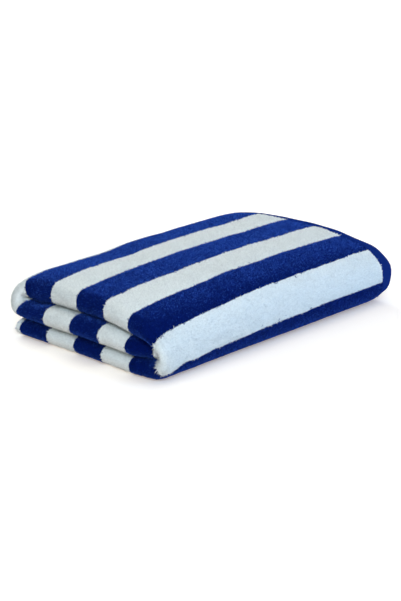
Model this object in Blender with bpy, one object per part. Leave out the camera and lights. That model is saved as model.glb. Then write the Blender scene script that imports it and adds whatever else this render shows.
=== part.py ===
"""A folded terry beach towel with wide stripes, modelled as one closed sheet of cloth.

Metres, +Z up. The folded towel lies on the plane Z = 0, its long side along X, and its
origin is at the middle of its underside.

The cloth is folded twice, and the model follows both folds:

1. Across its length, into quarters. Along the packet's length the cloth runs back and forth
   as four plies, joined by a wide bight and a small one inside it at the left end, and by
   one more at the right end, where both hems lie.
2. Across its width, into thirds, with the stripes along the folds. The outer thirds wrap
   round the middle one: the front long side is one smooth fold from top to bottom, and the
   back one joins only the top third to the middle third.

A point of the cloth is named by three numbers. "x" runs along the packet from its left end,
"depth" is 0 on the outside of the four plies and 1 on their inside, and "across" is the
distance over the cloth from the middle of its centre stripe, positive towards the front
fold. carry_to_packet() turns them into a place in the packet.
"""

import math

import bpy
import numpy as np

# The cloth, laid flat: stripes of two colours run along it, with a narrow one at each side, up
# to the hems, which are blue.
CLOTH_LENGTH = 1.70
STRIPE_WIDTH = 0.050
EDGE_STRIPE_WIDTH = 0.006
FULL_STRIPES = 17
HALF_WIDTH = FULL_STRIPES * STRIPE_WIDTH / 2 + EDGE_STRIPE_WIDTH

# Plies: four make one third. A ply fills this share of its quarter of the depth.
PLIES = 4
PLY_FILL = 0.66
HEM_LENGTH = 0.0171
HEM_STEP = 0.003
HEM_FILL = 0.75

# Heights of the three thirds where the packet is flat. The upper ones are less pressed.
BOTTOM_THIRD_TOP = 0.0245
MIDDLE_THIRD_TOP = 0.0517
PACKET_HEIGHT = 0.0831
THIRD_GAP = 0.0018

# The long folds, seen along X. The centre of each fold is where the flat part ends.
FRONT_FOLD_CENTRE = 0.1051
FRONT_FOLD_REACH = 0.0324
FRONT_FOLD_GROWTH = 0.0096
FRONT_FOLD_THICKNESS = 0.0125
FRONT_FOLD_WIDEST_Z = 0.0280
FRONT_FOLD_POWERS = (2.25, 2.44)
BACK_FOLD_CENTRE = 0.1230
BACK_FOLD_REACH = 0.0291
BACK_FOLD_CORE = 0.0050
BACK_FOLD_WIDEST_Z = 0.0541
BACK_FOLD_POWERS = (2.16, 2.27)

# Where the cloth's centre stripe lies on top, and how far the other thirds are carried on:
# there a point lies at its distance over the cloth less the third's shift.
STRIPE_CENTRE = -0.0043
STRIPE_DRIFT = 0.0125
BOTTOM_SHIFT = 0.3073
MIDDLE_SHIFT = 0.2991

# Where each long fold takes up the length that its plies differ by: from a little before the
# fold to its far side or a little past it. Away from the left end the outer plies keep their
# stripes' width round the front fold and take it up later.
FRONT_EASING_LEAD = 0.005
BACK_EASING_LEAD = 0.010
BACK_EASING_TAIL = 0.015
FRONT_EASES_FROM = FRONT_FOLD_CENTRE - FRONT_EASING_LEAD
FRONT_EASES_TO = BOTTOM_SHIFT - FRONT_FOLD_CENTRE
LATE_EASES_FROM = 0.1668
LATE_EASES_TO = 0.2821
OUTER_EASES_SOONER = 0.011
LATE_EASING_SETTLES = 0.0088
BACK_EASES_FROM = BACK_FOLD_CENTRE - BACK_EASING_LEAD
BACK_EASES_TO = MIDDLE_SHIFT - BACK_FOLD_CENTRE + BACK_EASING_TAIL

# The pillow shape of the top, as shares of the packet's height.
CROWN_CENTRE = -0.0105
CROWN_RISE = 0.356
CROWN_FALL = 0.372
CROWN_SPAN = 0.45
FRONT_DROP = 0.098
BACK_DROP = 0.115
SIDE_DROP_POWER = 2.87
LEFT_DROP = 0.036
LEFT_DROP_LENGTH = 0.03
LEFT_PINCH = 0.054
LEFT_PINCH_LENGTH = 0.04
PINCH_CENTRE = 0.0221
RIGHT_DROP = 0.039
RIGHT_DROP_LENGTH = 0.0307
RIGHT_DROP_POWER = 2.29
CORNER_LIFT = 0.0061
CORNER_LIFT_LENGTH = 0.0259

# Shallow hollows in the top, and swellings where the depth is below zero: (x, y, depth at the
# packet's full height, width).
TOP_HOLLOWS = (
    (0.150, 0.105, 0.0040, 0.055),
    (0.405, 0.105, -0.0033, 0.050),
    (0.030, 0.100, -0.0019, 0.040),
)

# The bights across the packet, as their reach along X, and how far the cloth inside stops
# short of the right end.
LEFT_BIGHT_REACH = 0.0146
RIGHT_BIGHT_REACH = 0.0064
RIGHT_BIGHT_INSET = 0.0220
INNER_HEM_INSET = 0.0075

# How far each part of the width stands out past the left end and stops short of the right
# end: (across, left offset, right offset).
END_OFFSETS = (
    (-0.430, 0.0090, -0.0050),
    (-0.380, -0.0055, -0.0070),
    (-0.300, -0.0059, -0.0090),
    (-0.185, -0.0031, -0.0030),
    (-0.150, 0.0022, -0.0019),
    (-0.115, 0.0126, 0.0011),
    (0.000, 0.0071, 0.0083),
    (0.100, -0.0014, 0.0027),
    (0.150, 0.0051, 0.0028),
    (0.190, 0.0006, -0.0033),
    (0.230, -0.0033, -0.0100),
    (0.280, -0.0022, -0.0130),
    (0.440, -0.0026, -0.0090),
)
LEFT_OFFSET_LENGTH = 0.06
RIGHT_OFFSET_LENGTH = 0.12

# The middle third's free side lies in the front fold, this far inside its round inner face,
# and its last stretch is drawn in.
FREE_SIDE_GAP = 0.0016
DRAWN_IN_FROM = 0.365
DRAWN_IN_BY = 0.0160

# How finely the sheet is divided.
STEPS_ALONG_PLY = 10
STEPS_IN_BIGHTS = (7, 5, 4)
CURVE_STEPS = 24

# Divisions of each stripe, from the middle third's free side to the bottom third's: most in
# the two that go round the long folds.
STRIPE_STEPS = (1, 2, 1, 1, 1, 3, 6, 3, 2, 2, 2, 3, 6, 5, 1, 1, 1, 1, 1)

# Colours, linear, and the roughness of dry terry.
BLUE = (0.006, 0.028, 0.200)
WHITE = (0.600, 0.640, 0.640)
TERRY_ROUGHNESS = 0.95


def smooth_step(t):
    """0 below 0, 1 above 1, and an even rise between."""
    t = np.clip(t, 0.0, 1.0)
    return t * t * (3.0 - 2.0 * t)


def clear_scene():
    for item in list(bpy.data.objects):
        bpy.data.objects.remove(item)


# The section along the packet: four plies and three bights in the (x, depth) plane.


def ply_depth(ply):
    """Middle depth of a ply, counted from 0 at the outside, with its faces at 0 and 1."""
    half = ply_half_depth()
    return half + ply * (1.0 - 2.0 * half) / (PLIES - 1)


def ply_half_depth():
    pitch = 1.0 / (PLIES - 1 + PLY_FILL)
    return pitch * PLY_FILL / 2.0


def eased(count):
    """Steps from 0 to 1, closer together at both ends."""
    return 0.5 - 0.5 * np.cos(np.pi * np.linspace(0.0, 1.0, count + 1))


def ply_rows(x, depth, side, fill=1.0):
    """Flat cloth at these x: rows of (x, depth, half thickness along x, the same in depth)."""
    x = np.asarray(x, float)
    flat = np.zeros_like(x)
    return np.stack([x, flat + depth, flat, flat - side * fill * ply_half_depth()], 1)


def straight(x_from, x_to, depth, side):
    """Rows of flat cloth from one x to another, closer together at both ends."""
    return ply_rows(x_from + (x_to - x_from) * eased(STEPS_ALONG_PLY), depth, side)


def hem(x_end, depth, side):
    """The flat-woven blue end of the cloth, thinner than the pile."""
    return ply_rows([x_end, x_end - HEM_LENGTH], depth, side, HEM_FILL)


def bight(x, depth, middle, reach_ratio, turn, side, steps):
    """Half a turn about (x, depth). middle is the middle line's radius in depth, turn is -1
    towards the left and 1 towards the right, and side is 1 where the first face is outside."""
    angle = np.pi * np.linspace(0.0, 1.0, steps + 1)[1:-1]
    start = 1.0 if (turn > 0) or side < 0 else -1.0
    out_x = turn * np.sin(angle) * reach_ratio
    out_depth = start * np.cos(angle)
    half = side * ply_half_depth()
    return np.stack(
        [x + middle * out_x, depth + middle * out_depth, half * out_x, half * out_depth], 1
    )


def path_length(section):
    """Length of the cloth's middle line through the section, with depth as a real height."""
    third_height = PACKET_HEIGHT / 3.0
    steps = np.diff(section[:, :2], axis=0) * np.array([1.0, third_height])
    return float(np.hypot(steps[:, 0], steps[:, 1]).sum())


def cloth_section(length):
    """The whole back-and-forth section for a packet of this length, from hem to hem."""
    left = LEFT_BIGHT_REACH
    right = length - RIGHT_BIGHT_INSET
    reach_left = LEFT_BIGHT_REACH / 0.5
    outer = 0.5 - ply_half_depth()
    inner = ply_depth(2) - 0.5
    small_centre = (ply_depth(2) + ply_depth(3)) / 2.0
    small = ply_depth(3) - small_centre
    reach_right = RIGHT_BIGHT_REACH / (small + ply_half_depth())
    inner_end = length - INNER_HEM_INSET
    pile_inset = HEM_LENGTH + HEM_STEP
    wide_steps, right_steps, core_steps = STEPS_IN_BIGHTS
    return np.concatenate(
        [
            hem(length, ply_depth(0), 1),
            straight(length - pile_inset, left, ply_depth(0), 1),
            bight(left, 0.5, outer, reach_left, -1, 1, wide_steps),
            straight(left, right, ply_depth(3), -1),
            bight(right, small_centre, small, reach_right, 1, 1, right_steps),
            straight(right, left, ply_depth(2), 1),
            bight(left, 0.5, inner, reach_left, -1, -1, core_steps),
            straight(left, inner_end - pile_inset, ply_depth(1), -1),
            hem(inner_end, ply_depth(1), -1)[::-1],
        ]
    )


def packet_length():
    """The packet's length for which the cloth between the hems is CLOTH_LENGTH long."""
    guess = CLOTH_LENGTH / PLIES
    for _ in range(3):
        guess += (CLOTH_LENGTH - path_length(cloth_section(guess))) / PLIES
    return guess


# The section across the packet: one long curve for each x and depth.


def fold_quarter(centre, widest, reach, rise, power, outwards):
    """A quarter of a fold's outline, from its joint with the flat cloth (rise above the widest
    point) to the widest point, or the other way where outwards is False."""
    angle = np.linspace(0.0, math.pi / 2.0, CURVE_STEPS)[None, :]
    y = centre + reach * np.sin(angle) ** (2.0 / power)
    z = widest + rise * np.cos(angle) ** (2.0 / power)
    return (y, z) if outwards else (y[:, ::-1], z[:, ::-1])


def across_curve(x, depth):
    """For each (x, depth), the outline that the cloth follows from the middle third's free
    side over the back fold, the top and the front fold to the bottom third's free side.
    Returns y, z, and the columns of the joints: back fold, top, front fold, bottom."""
    half_gap = THIRD_GAP / 2.0
    top = MIDDLE_THIRD_TOP + half_gap + (PACKET_HEIGHT - MIDDLE_THIRD_TOP - half_gap) * (1.0 - depth)
    middle_height = MIDDLE_THIRD_TOP - BOTTOM_THIRD_TOP - THIRD_GAP
    middle = BOTTOM_THIRD_TOP + half_gap + middle_height * depth
    bottom = (BOTTOM_THIRD_TOP - half_gap) * depth

    def towards_round(power):
        return power + (2.0 - power) * depth

    front = -FRONT_FOLD_CENTRE
    front_reach = FRONT_FOLD_REACH + FRONT_FOLD_GROWTH * x / CROWN_SPAN - FRONT_FOLD_THICKNESS * depth
    core = (BOTTOM_THIRD_TOP + MIDDLE_THIRD_TOP) / 2.0
    front_z = FRONT_FOLD_WIDEST_Z + (core - FRONT_FOLD_WIDEST_Z) * depth
    back = BACK_FOLD_CENTRE
    back_reach = BACK_FOLD_REACH + (BACK_FOLD_CORE - BACK_FOLD_REACH) * depth
    back_z = BACK_FOLD_WIDEST_Z + (MIDDLE_THIRD_TOP - BACK_FOLD_WIDEST_Z) * depth
    upper_front, lower_front = (towards_round(p) for p in FRONT_FOLD_POWERS)
    upper_back, lower_back = (towards_round(p) for p in BACK_FOLD_POWERS)

    def run(y_from, y_to, z):
        y = np.linspace(y_from, y_to, CURVE_STEPS)[None, 1:-1] + 0.0 * x
        return y, z + 0.0 * y

    free_reach = front_reach + (depth - 1.0) * FRONT_FOLD_THICKNESS - FREE_SIDE_GAP
    parts = [
        fold_quarter(front, core, -free_reach, middle - core, 2.0, False),
        run(front, back, middle),
        fold_quarter(back, back_z, back_reach, middle - back_z, lower_back, True),
        fold_quarter(back, back_z, back_reach, top - back_z, upper_back, False),
        run(back, front, top),
        fold_quarter(front, front_z, -front_reach, top - front_z, upper_front, True),
        fold_quarter(front, front_z, -front_reach, bottom - front_z, lower_front, False),
        run(front, back + 2.0 * BACK_FOLD_REACH, bottom),
    ]
    joints = np.cumsum([p[0].shape[1] for p in parts])
    y = np.concatenate([p[0] for p in parts], 1)
    z = np.concatenate([p[1] for p in parts], 1)
    return y, z, (joints[1], joints[3] - 1, joints[4], joints[6] - 1)


def pillow(x, y, z, length):
    """Lifts the crown and lowers the sides and ends, more so the higher a point is."""
    t = x / CROWN_SPAN
    front_share = np.clip((CROWN_CENTRE - y) / (CROWN_CENTRE + FRONT_FOLD_CENTRE), 0.0, 2.0)
    back_share = np.clip((y - CROWN_CENTRE) / (BACK_FOLD_CENTRE - CROWN_CENTRE), 0.0, 2.0)
    right_share = np.clip((x - length) / RIGHT_DROP_LENGTH + 1.0, 0.0, None)
    rise = (
        CROWN_RISE * t
        - CROWN_FALL * t * t
        - FRONT_DROP * front_share**SIDE_DROP_POWER
        - BACK_DROP * back_share**SIDE_DROP_POWER
        - LEFT_DROP * np.exp(-x / LEFT_DROP_LENGTH)
        - RIGHT_DROP * right_share**RIGHT_DROP_POWER
    )
    for hollow_x, hollow_y, hollow_depth, width in TOP_HOLLOWS:
        distance = ((x - hollow_x) ** 2 + (y - hollow_y) ** 2) / width**2
        rise = rise - hollow_depth / PACKET_HEIGHT * np.exp(-distance)
    z = z * (1.0 + rise * z / PACKET_HEIGHT)
    corner = smooth_step((x - length) / CORNER_LIFT_LENGTH + 1.0) * np.clip(front_share, 0.0, None)
    z = z + CORNER_LIFT * corner * np.clip(1.0 - z / PACKET_HEIGHT, 0.0, 1.0)
    pinch = LEFT_PINCH * np.exp(-x / LEFT_PINCH_LENGTH) * z / PACKET_HEIGHT
    y = PINCH_CENTRE + (y - PINCH_CENTRE) * (1.0 - pinch)
    return y, z


def end_offsets(across):
    """The left and right offsets of END_OFFSETS, with an even change between its rows."""
    known, left, right = np.array(END_OFFSETS).T
    row = np.clip(np.searchsorted(known, across) - 1, 0, len(known) - 2)
    share = smooth_step((across - known[row]) / (known[row + 1] - known[row]))
    return tuple(table[row] + (table[row + 1] - table[row]) * share for table in (left, right))


def rows_interp(wanted, known, values):
    return np.array([np.interp(w, k, v) for w, k, v in zip(wanted, known, values)])


def carry_to_packet(x, depth, across, length):
    """Places in the packet of the cloth at x and depth (one row each) and across (columns)."""
    x = np.asarray(x, float)[:, None]
    depth = np.asarray(depth, float)[:, None]
    across = np.broadcast_to(across, (len(x), len(across)))
    flat_y, flat_z, (back_end, top_start, front_start, front_end) = across_curve(x, depth)
    y, z = pillow(x, flat_y, flat_z, length)
    steps = np.hypot(np.diff(y, axis=1), np.diff(z, axis=1))
    run = np.concatenate([0.0 * x, np.cumsum(steps, 1)], 1)
    centre = -(STRIPE_CENTRE + STRIPE_DRIFT * x / CROWN_SPAN)
    top = slice(top_start, front_start + 1)
    run -= rows_interp(centre, -flat_y[:, top], run[:, top])

    outside = np.clip(1.0 - 2.0 * depth, 0.0, 1.0)
    late = outside * (1.0 - np.exp(-x / LATE_EASING_SETTLES))
    start = FRONT_EASES_FROM + (LATE_EASES_FROM - FRONT_EASES_FROM) * late
    stop = FRONT_EASES_TO - OUTER_EASES_SOONER * outside
    stop = stop + (LATE_EASES_TO - FRONT_EASES_TO + OUTER_EASES_SOONER) * late
    extra = run[:, front_end][:, None] + FRONT_FOLD_CENTRE - BOTTOM_SHIFT
    frontwards = across + extra * smooth_step((across - start) / (stop - start))

    eased_back = smooth_step((-across - BACK_EASES_FROM) / (BACK_EASES_TO - BACK_EASES_FROM))
    extra = -run[:, back_end][:, None] + BACK_FOLD_CENTRE - MIDDLE_SHIFT
    backwards = -across + extra * eased_back
    inside = (-across - DRAWN_IN_FROM) / (HALF_WIDTH - DRAWN_IN_FROM)
    backwards -= DRAWN_IN_BY * smooth_step(inside)

    place = np.where(across >= 0.0, frontwards, -backwards)
    left_offset, right_offset = end_offsets(across)
    left_weight = np.exp(-x / LEFT_OFFSET_LENGTH)
    right_weight = smooth_step((x - length) / RIGHT_OFFSET_LENGTH + 1.0)
    along = x + left_offset * left_weight + right_offset * right_weight
    return np.stack([along, rows_interp(place, run, y), rows_interp(place, run, z)], -1)


# The sheet.


def stripe_edges():
    inner = (np.arange(FULL_STRIPES + 1) - FULL_STRIPES / 2.0) * STRIPE_WIDTH
    return np.concatenate([[-HALF_WIDTH], inner, [HALF_WIDTH]])


def across_stations():
    """Distances over the cloth's width, and for each step between them its stripe's number."""
    edges = stripe_edges()
    stations = [edges[0]]
    stripes = []
    for number, (low, high, count) in enumerate(zip(edges[:-1], edges[1:], STRIPE_STEPS)):
        stations += list(low + (high - low) * np.arange(1, count + 1) / count)
        stripes += [number] * count
    return np.array(stations), stripes


def sheet_mesh(length):
    """One closed sheet: two faces over the section, joined round their four sides. Returns its
    vertices, its faces, and for each face whether it is blue."""
    section = cloth_section(length)
    across, stripes = across_stations()
    faces_of_cloth = []
    for side in (1.0, -1.0):
        x = section[:, 0] + side * section[:, 2]
        depth = section[:, 1] + side * section[:, 3]
        faces_of_cloth.append(carry_to_packet(x, depth, across, length))
    rows, columns = faces_of_cloth[0].shape[:2]
    vertices = np.concatenate([f.reshape(-1, 3) for f in faces_of_cloth])

    def index(side, row, column):
        return (side * rows + row) * columns + column

    def is_blue(row, column):
        return row in (0, rows - 2) or stripes[column] % 2 == 1

    faces = []
    blue = []
    for row in range(rows - 1):
        for column in range(columns - 1):
            corners = ((row, column), (row, column + 1), (row + 1, column + 1), (row + 1, column))
            faces.append([index(0, r, c) for r, c in reversed(corners)])
            faces.append([index(1, r, c) for r, c in corners])
            blue += [is_blue(row, column)] * 2
    for row in range(rows - 1):
        for column, flip in ((0, False), (columns - 1, True)):
            side = [index(0, row, column), index(0, row + 1, column)]
            side += [index(1, row + 1, column), index(1, row, column)]
            faces.append(side if flip else side[::-1])
            blue.append(is_blue(row, 0))
    for column in range(columns - 1):
        for row, flip in ((0, True), (rows - 1, False)):
            side = [index(0, row, column), index(0, row, column + 1)]
            side += [index(1, row, column + 1), index(1, row, column)]
            faces.append(side if flip else side[::-1])
            blue.append(True)
    return vertices, faces, blue


def terry(name, colour):
    material = bpy.data.materials.new(name)
    material.use_nodes = True
    shader = material.node_tree.nodes["Principled BSDF"]
    shader.inputs["Base Color"].default_value = (*colour, 1.0)
    shader.inputs["Roughness"].default_value = TERRY_ROUGHNESS
    shader.inputs["Metallic"].default_value = 0.0
    return material


def make_towel():
    length = packet_length()
    vertices, faces, blue = sheet_mesh(length)
    low, high = vertices.min(0), vertices.max(0)
    vertices -= np.array([(low[0] + high[0]) / 2.0, (low[1] + high[1]) / 2.0, low[2]])
    mesh = bpy.data.meshes.new("towel")
    mesh.from_pydata(vertices.tolist(), [], faces)
    mesh.materials.append(terry("terry_white", WHITE))
    mesh.materials.append(terry("terry_blue", BLUE))
    mesh.polygons.foreach_set("material_index", [int(face_is_blue) for face_is_blue in blue])
    mesh.shade_smooth()
    mesh.update()
    towel = bpy.data.objects.new("towel", mesh)
    bpy.context.scene.collection.objects.link(towel)
    return towel


clear_scene()
make_towel()
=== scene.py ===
"""The looks of a folded terry beach towel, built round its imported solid.

Metres, +Z up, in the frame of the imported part. The cloth is one closed sheet that follows both
folds of the solid, divided finely and slightly uneven, and its pile is made of small tufts
that stand on every side of the cloth that shows. Each tuft knows where on the flat cloth it
is, and its colour, height and lean come from there.

The cloth is folded across its length into quarters and then across its width into thirds. A
point of it is named by three numbers. "x" runs along the packet from its left end, "depth" is
0 on the outside of the four plies and 1 on their inside, and "across" is the distance over the
cloth from the middle of its centre stripe, positive towards the front fold.
carry_to_packet() turns them into a place in the packet.
"""

import math

import bpy
import numpy as np
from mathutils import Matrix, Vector
from mathutils.bvhtree import BVHTree


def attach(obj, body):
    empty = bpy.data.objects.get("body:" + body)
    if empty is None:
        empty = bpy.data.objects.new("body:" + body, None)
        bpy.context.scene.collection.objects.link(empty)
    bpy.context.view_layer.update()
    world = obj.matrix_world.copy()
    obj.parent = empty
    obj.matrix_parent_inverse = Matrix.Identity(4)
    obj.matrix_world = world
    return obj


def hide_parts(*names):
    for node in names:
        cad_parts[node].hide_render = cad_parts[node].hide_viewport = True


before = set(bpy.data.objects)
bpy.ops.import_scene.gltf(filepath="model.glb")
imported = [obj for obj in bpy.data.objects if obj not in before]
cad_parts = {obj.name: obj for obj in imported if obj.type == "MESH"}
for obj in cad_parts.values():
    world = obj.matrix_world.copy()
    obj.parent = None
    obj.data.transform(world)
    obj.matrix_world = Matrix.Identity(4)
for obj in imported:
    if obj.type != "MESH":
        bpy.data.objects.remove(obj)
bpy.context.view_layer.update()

# The cloth, laid flat: stripes of two colours run along it, with a narrow one at each side, up
# to the hems, which are blue.
CLOTH_LENGTH = 1.70
STRIPE_WIDTH = 0.050
EDGE_STRIPE_WIDTH = 0.006
FULL_STRIPES = 17
HALF_WIDTH = FULL_STRIPES * STRIPE_WIDTH / 2 + EDGE_STRIPE_WIDTH

# Plies: four make one third. A ply fills this share of its quarter of the depth. The packet's
# length follows from the cloth's in a few steps.
PLIES = 4
PLY_FILL = 0.66
MIDDLE_DEPTH = 0.5
LENGTH_STEPS = 3

# The hem at each end of the cloth is a flat-woven blue band, thinner in the section than a ply,
# and the ply has its full thickness a step further in.
HEM_LENGTH = 0.0171
HEM_STEP = 0.003
HEM_FILL = 0.75

# Heights of the three thirds where the packet is flat. The upper ones are less pressed.
THIRDS = 3
BOTTOM_THIRD_TOP = 0.0245
MIDDLE_THIRD_TOP = 0.0517
PACKET_HEIGHT = 0.0831
THIRD_GAP = 0.0018

# The long folds, seen along X. The centre of each fold is where the flat part ends, and its
# outline bulges out to its widest height with these powers above and below, where 2 is round.
FRONT_FOLD_CENTRE = 0.1051
FRONT_FOLD_REACH = 0.0324
FRONT_FOLD_GROWTH = 0.0096
FRONT_FOLD_THICKNESS = 0.0125
FRONT_FOLD_WIDEST_Z = 0.0280
FRONT_FOLD_POWERS = (2.25, 2.44)
BACK_FOLD_CENTRE = 0.1230
BACK_FOLD_REACH = 0.0291
BACK_FOLD_CORE = 0.0050
BACK_FOLD_WIDEST_Z = 0.0541
BACK_FOLD_POWERS = (2.16, 2.27)

# Where the cloth's centre stripe lies on top, and how far the other thirds are carried on:
# there a point lies at its distance over the cloth less the third's shift.
STRIPE_CENTRE = -0.0043
STRIPE_DRIFT = 0.0125
BOTTOM_SHIFT = 0.3073
MIDDLE_SHIFT = 0.2991

# Where each long fold takes up the length that its plies differ by: from a little before the
# fold to its far side or a little past it. Away from the left end the outer plies keep their
# stripes' width round the front fold and take it up later.
FRONT_EASING_LEAD = 0.005
BACK_EASING_LEAD = 0.010
BACK_EASING_TAIL = 0.015
FRONT_EASES_FROM = FRONT_FOLD_CENTRE - FRONT_EASING_LEAD
FRONT_EASES_TO = BOTTOM_SHIFT - FRONT_FOLD_CENTRE
LATE_EASES_FROM = 0.1668
LATE_EASES_TO = 0.2821
OUTER_EASES_SOONER = 0.011
LATE_EASING_SETTLES = 0.0088
BACK_EASES_FROM = BACK_FOLD_CENTRE - BACK_EASING_LEAD
BACK_EASES_TO = MIDDLE_SHIFT - BACK_FOLD_CENTRE + BACK_EASING_TAIL

# The pillow shape of the top, as shares of the packet's height.
CROWN_CENTRE = -0.0105
CROWN_RISE = 0.356
CROWN_FALL = 0.372
CROWN_SPAN = 0.45
FRONT_DROP = 0.098
BACK_DROP = 0.115
SIDE_DROP_POWER = 2.87
LEFT_DROP = 0.036
LEFT_DROP_LENGTH = 0.03
LEFT_PINCH = 0.054
LEFT_PINCH_LENGTH = 0.04
PINCH_CENTRE = 0.0221
RIGHT_DROP = 0.039
RIGHT_DROP_LENGTH = 0.0307
RIGHT_DROP_POWER = 2.29
CORNER_LIFT = 0.0061
CORNER_LIFT_LENGTH = 0.0259

# Shallow hollows in the top, and swellings where the depth is below zero: (x, y, depth at the
# packet's full height, width).
TOP_HOLLOWS = (
    (0.150, 0.105, 0.0040, 0.055),
    (0.405, 0.105, -0.0033, 0.050),
    (0.030, 0.100, -0.0019, 0.040),
)

# The bights across the packet, as their reach along X, and how far the cloth inside stops
# short of the right end.
LEFT_BIGHT_REACH = 0.0146
RIGHT_BIGHT_REACH = 0.0064
RIGHT_BIGHT_INSET = 0.0220
INNER_HEM_INSET = 0.0075

# How far each part of the width stands out past the left end and stops short of the right
# end: (across, left offset, right offset).
END_OFFSETS = (
    (-0.430, 0.0090, -0.0050),
    (-0.380, -0.0055, -0.0070),
    (-0.300, -0.0059, -0.0090),
    (-0.185, -0.0031, -0.0030),
    (-0.150, 0.0022, -0.0019),
    (-0.115, 0.0126, 0.0011),
    (0.000, 0.0071, 0.0083),
    (0.100, -0.0014, 0.0027),
    (0.150, 0.0051, 0.0028),
    (0.190, 0.0006, -0.0033),
    (0.230, -0.0033, -0.0100),
    (0.280, -0.0022, -0.0130),
    (0.440, -0.0026, -0.0090),
)
LEFT_OFFSET_LENGTH = 0.06
RIGHT_OFFSET_LENGTH = 0.12

# The middle third's free side lies in the front fold, this far inside its round inner face,
# and its last stretch is drawn in.
FREE_SIDE_GAP = 0.0016
DRAWN_IN_FROM = 0.365
DRAWN_IN_BY = 0.0160

# The middle of the packet's outline in the numbers above. It lies over the frame's origin.
PACKET_MIDDLE = (0.2202, 0.0028)

# The woven ground of the cloth is this share of its thickness. The pile fills the rest. The
# hem that shows has no pile and is fuller above, as it is turned over inside. It is round at
# its end and settles to the ground of the pile over a short way.
GROUND_SHARE = 0.70
HEM_SHARE = 2.10
HEM_ROUND = 0.0030
HEM_ROUND_STEPS = 7
HEM_STEPS = 8
HEM_SETTLES = 0.0030
HEM_END_SHARE = 0.02

# Slight unevenness of the whole packet: (size of a wave, height of a wave).
UNEVENNESS = (
    (0.170, 0.0007),
    (0.085, 0.0005),
    (0.040, 0.0003),
)
WAVES_OF_EACH_SIZE = 5
FLAT_BELOW = 0.020

# Where borders between stripes lie off the even packet, round the wide bight: (across, along
# from the bight's outermost line, width, length, shift).
BORDER_SHIFTS = (
    (-0.125, -0.022, 0.014, 0.015, 0.0035),
    (-0.175, 0.006, 0.014, 0.018, -0.0065),
    (0.425, 0.004, 0.005, 0.014, 0.0020),
    (0.175, -0.042, 0.012, 0.014, 0.0042),
    (0.175, -0.078, 0.012, 0.022, 0.0020),
)

# Where the cloth is swollen or drawn in, at the corners: (x, y, z, radius, towards x, y, z),
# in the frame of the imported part.
SWELLS = (
    (-0.169, 0.124, 0.075, 0.022, 0.0, 0.0, 0.0020),
    (-0.201, 0.097, 0.051, 0.016, 0.0, 0.0, -0.0044),
    (-0.216, 0.136, 0.032, 0.008, -0.0011, 0.0012, -0.0014),
    (-0.212, 0.133, 0.056, 0.014, 0.0015, -0.0016, 0.0),
    (-0.222, 0.120, 0.013, 0.014, -0.0015, 0.0016, 0.0),
    (-0.215, -0.124, 0.050, 0.011, -0.0008, 0.0002, 0.0008),
    (0.224, -0.118, 0.064, 0.016, 0.0010, -0.0010, 0.0020),
    (0.224, -0.140, 0.050, 0.016, 0.0014, -0.0014, 0.0010),
)

# A crease in the white bulge at the left end's back corner, from where it is deepest to where
# it fades out: (x, y, z, depth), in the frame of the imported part.
CREASE = (
    (-0.2050, 0.1190, 0.0455, 0.0040),
    (-0.2084, 0.1216, 0.0480, 0.0040),
    (-0.2124, 0.1238, 0.0515, 0.0032),
    (-0.2148, 0.1272, 0.0545, 0.0014),
    (-0.2155, 0.1310, 0.0560, 0.0000),
)
CREASE_WIDTH = 0.0020
CREASE_STEPS = 12

# How finely the cloth is divided. The bights are the wide one, the right one and the small one
# inside the wide one.
STEPS_ALONG_OUTER_PLY = 96
STEPS_ALONG_INNER_PLY = 22
STEPS_IN_BIGHTS = (26, 10, 8)
STEPS_IN_STRIPE = 8
STEPS_IN_EDGE_STRIPE = 3
CURVE_STEPS = 40

# A vector shorter than this has no direction.
NO_LENGTH = 1e-12

# The pile: tufts with three sides, on each part of the cloth that at least a share of the
# rays from it leave without meeting the cloth again. Their heights and radii vary within
# ranges of shares, and their shading normals are the cloth's, tilted and spread a little.
TUFT_SPACING = 0.00123
TUFT_SIDES = 3
TUFT_SINK = 0.0004
BLUE_TUFT_HEIGHT = 0.0015
WHITE_TUFT_HEIGHT = 0.0017
TUFT_RADIUS = 0.00072
TUFT_HEIGHT_RANGE = (0.70, 1.25)
TUFT_RADIUS_RANGE = (0.75, 1.25)
TUFT_LEAN = 0.40
NORMAL_TILT = 0.50
NORMAL_SPREAD = 0.35
SEEN_SHARE = 0.06
SEEN_RAYS = 28
RAY_START = 0.0006
RAY_LENGTH = 0.30
TUFTS_IN_PIECE = 66000
SEED = 12

# Tufts lean together in small clumps, over about this distance, by a share of their height.
CLUMP_SIZE = 0.0028
BLUE_CLUMP_LEAN = 0.40
WHITE_CLUMP_LEAN = 0.17

# White tufts near a stripe's border lean out over it. They are longer, and lean out further,
# in fringes round the wide bight: (across, along from the bight's outermost line, width,
# length).
BORDER_LEAN = 0.50
BORDER_REACH = 0.0022
FRINGES = (
    (0.128, -0.012, 0.006, 0.026),
    (0.150, 0.002, 0.022, 0.010),
    (0.172, 0.000, 0.007, 0.014),
)
FRINGE_LONGER = 1.15
FRINGE_LEAN = 0.60

# Where a stripe's colour ends: waves in its border, each (size, height), and small notches
# that blue cuts into white, where a patch of random values is above a level.
BORDER_WAVES = (
    (0.0120, 0.0005),
    (0.0035, 0.0005),
    (0.0012, 0.0004),
)
WHITE_INSET = 0.0005
NOTCH_SIZE = 0.0045
NOTCH_LEVEL = 0.70
NOTCH_DEPTH = 0.0045

# Lighter and darker tufts: (size of a patch, share of the colour) for each colour.
BLUE_MOTTLING = ((0.0022, 0.36), (0.0130, 0.05), (0.0500, 0.04))
WHITE_MOTTLING = ((0.0024, 0.050), (0.0150, 0.020), (0.0600, 0.020))
BLUE_TUFT_TONE = 0.40
WHITE_TUFT_TONE = 0.10
PATCHES_IN_TABLE = 512

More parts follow.
